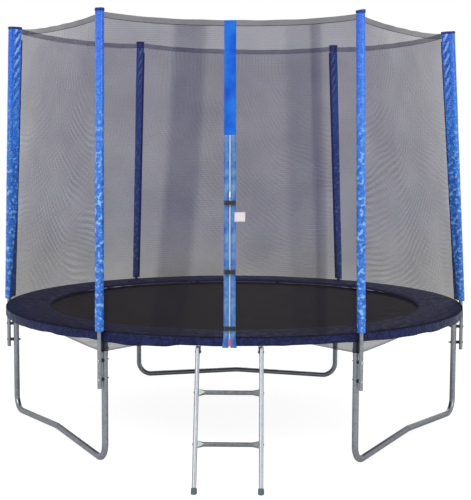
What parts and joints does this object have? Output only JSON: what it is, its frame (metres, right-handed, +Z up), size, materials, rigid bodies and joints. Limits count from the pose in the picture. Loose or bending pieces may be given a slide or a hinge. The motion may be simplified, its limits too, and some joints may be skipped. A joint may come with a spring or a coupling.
{
  "type": "trampoline with safety net",
  "caption": "Round outdoor garden trampoline with W-shaped tube legs, blue padded poles, a grey zipped safety net, a spring pad with a skirt, and a hook-on ladder.",
  "frame": {"origin": "on the ground under the middle of the round frame", "axes": "+Z up, -Y towards the ladder and the door, +X to the right of someone who faces the door"},
  "size_m": [3.1536, 3.468, 2.608],
  "materials": {
    "galvanised_steel": "dull galvanised",
    "zinc_plated_steel": "zinc plated",
    "dark_nuts": "dark, satin",
    "foam": "closed-cell foam",
    "sleeve_sheet": "crinkled woven film, glossy",
    "cap_sheet": "sewn sheet, dark",
    "black_plastic": "moulded, satin",
    "mat_cloth": "tight woven, dull",
    "webbing": "woven webbing",
    "pad_cover": "coated sheet, dull",
    "skirt_sheet": "coated sheet, satin",
    "net_mesh": "fine knitted mesh",
    "net_hem": "folded mesh",
    "cord": "braided",
    "door_tape": "woven tape",
    "zip_plastic": "moulded teeth",
    "pull_plastic": "moulded",
    "tag_cloth": "smooth, blank",
    "ladder_steel": "dull galvanised, bluish",
    "black_steel": "satin black",
    "foot_rubber": "matt"
  },
  "bodies": {
    "frame": {"frame_rails": "galvanised_steel", "t_sockets": "galvanised_steel", "leg_base_right": "galvanised_steel", "leg_base_rear": "galvanised_steel", "leg_base_left": "galvanised_steel", "leg_uprights": "galvanised_steel", "socket_screws": "zinc_plated_steel", "poles_lower": "galvanised_steel", "poles_upper": "galvanised_steel", "pole_foams": "foam", "sleeve_near_right": "sleeve_sheet", "sleeve_right": "sleeve_sheet", "sleeve_rear_right": "sleeve_sheet", "sleeve_rear_left": "sleeve_sheet", "sleeve_left": "sleeve_sheet", "sleeve_near_left": "sleeve_sheet", "pole_caps": "cap_sheet", "spacers": "black_plastic", "pole_bolts": "zinc_plated_steel", "pole_nuts": "dark_nuts", "springs": "zinc_plated_steel", "spring_pad": "pad_cover", "pad_skirt": "skirt_sheet", "pad_straps": "skirt_sheet", "net_right": "net_mesh", "net_rear_right": "net_mesh", "net_rear": "net_mesh", "net_rear_left": "net_mesh", "net_left": "net_mesh", "net_front_left": "net_mesh", "net_front_right": "net_mesh", "top_hem": "net_hem", "bottom_hem": "net_hem", "net_ties": "cord", "door_tape_top": "door_tape", "door_tape_left": "door_tape", "door_tape_right": "door_tape", "zip_teeth": "zip_plastic", "buckle_sockets": "black_plastic", "door_tag": "tag_cloth"},
    "mat": {"jump_mat": "mat_cloth", "mat_border": "webbing", "v_rings": "zinc_plated_steel"},
    "zip_slider": {"zip_slider": "zinc_plated_steel"},
    "zip_pull": {"zip_pull": "pull_plastic"},
    "plug_low": {"buckle_plug_low": "black_plastic"},
    "plug_middle": {"buckle_plug_middle": "black_plastic"},
    "plug_top": {"buckle_plug_top": "black_plastic"},
    "ladder": {"ladder_rail_left": "ladder_steel", "ladder_rail_right": "ladder_steel", "ladder_rung_low": "galvanised_steel", "ladder_rung_top": "galvanised_steel", "ladder_hooks": "black_steel", "ladder_bolts": "zinc_plated_steel", "ladder_feet": "foot_rubber"}
  },
  "joints": [
    {"name": "mat_bounce", "type": "slide", "parent": "frame", "child": "mat", "axis": [0, 0, 1], "range_m": [-0.3, 0], "stiffness_N_per_m": 5000, "springref_m": 0.045, "deforming": ["springs"]},
    {"name": "zip_run", "type": "slide", "parent": "frame", "child": "zip_slider", "axis": [-0.0041, 0.1239, 0.9923], "range_m": [-0.75, 0.3]},
    {"name": "pull_swing", "type": "hinge", "parent": "zip_slider", "child": "zip_pull", "pos_m": [-0.00331, -1.43392, 1.59087], "axis": [-1, 0, -0.0041], "range_deg": [0, 150]},
    {"name": "plug_low_release", "type": "slide", "parent": "frame", "child": "plug_low", "axis": [-1, 0, -0.0041], "range_m": [0, 0.03]},
    {"name": "plug_middle_release", "type": "slide", "parent": "frame", "child": "plug_middle", "axis": [-1, 0, -0.0041], "range_m": [0, 0.03]},
    {"name": "plug_top_release", "type": "slide", "parent": "frame", "child": "plug_top", "axis": [-1, 0, -0.0041], "range_m": [0, 0.03]},
    {"name": "ladder_swing", "type": "hinge", "parent": "frame", "child": "ladder", "pos_m": [0, -1.49604, 0.746], "axis": [-1, 0, 0], "range_deg": [0, 18]}
  ]
}
